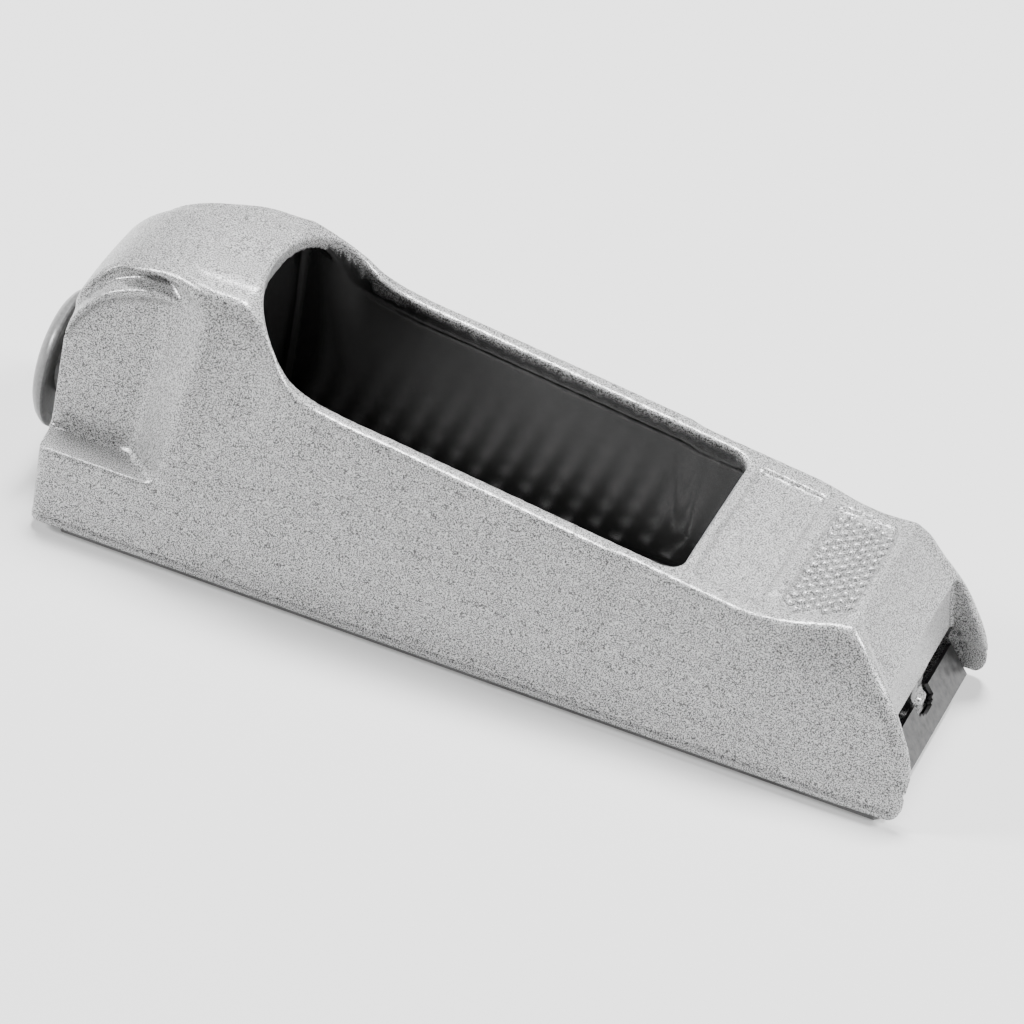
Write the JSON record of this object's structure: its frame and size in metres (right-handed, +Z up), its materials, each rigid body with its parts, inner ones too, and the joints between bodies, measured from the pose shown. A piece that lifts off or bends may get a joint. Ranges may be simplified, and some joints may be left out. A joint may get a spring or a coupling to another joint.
{
  "type": "rasp plane",
  "caption": "Small hand plane with a cast body, an open throat, a perforated rasp blade along its sole and a knob at the heel that tightens it.",
  "frame": {"origin": "midway between the blade's two long edges, on the plane of the teeth's tips, about halfway along the sole", "axes": "+X along the tool towards the toe, +Z up out of the throat, +Y to the left of someone pushing it"},
  "size_m": [0.1555, 0.0444, 0.0504],
  "materials": {
    "casting_paint": "grainy silver-grey paint on a die casting",
    "blade_steel": "dark hardened sheet, satin and scratched on the bent ends",
    "knob_plastic": "smooth dark grey",
    "fitting_steel": "bright zinc-plated steel"
  },
  "bodies": {
    "body": {"body_casting": "casting_paint"},
    "knob": {"knob": "knob_plastic", "tension_screw": "fitting_steel", "knob_washer": "fitting_steel"},
    "clamp": {"blade_clamp": "fitting_steel", "clamp_nut": "fitting_steel"},
    "blade": {"rasp_blade": "blade_steel"}
  },
  "joints": [
    {"name": "blade_slide", "type": "slide", "parent": "body", "child": "blade", "axis": [1, 0, 0], "range_m": [0, 0.004]},
    {"name": "clamp_slide", "type": "slide", "parent": "body", "child": "clamp", "axis": [1, 0, 0], "range_m": [0, 0.004]},
    {"name": "knob_turn", "type": "hinge", "parent": "body", "child": "knob", "pos_m": [-0.0755, 0, 0.018], "axis": [-1, 0, 0], "range_deg": [0, 1800]}
  ],
  "couplings": [
    {"joint": "clamp_slide", "follows": "blade_slide", "ratio": 1},
    {"joint": "knob_turn", "follows": "blade_slide", "rad_per_m": 7853.9}
  ]
}
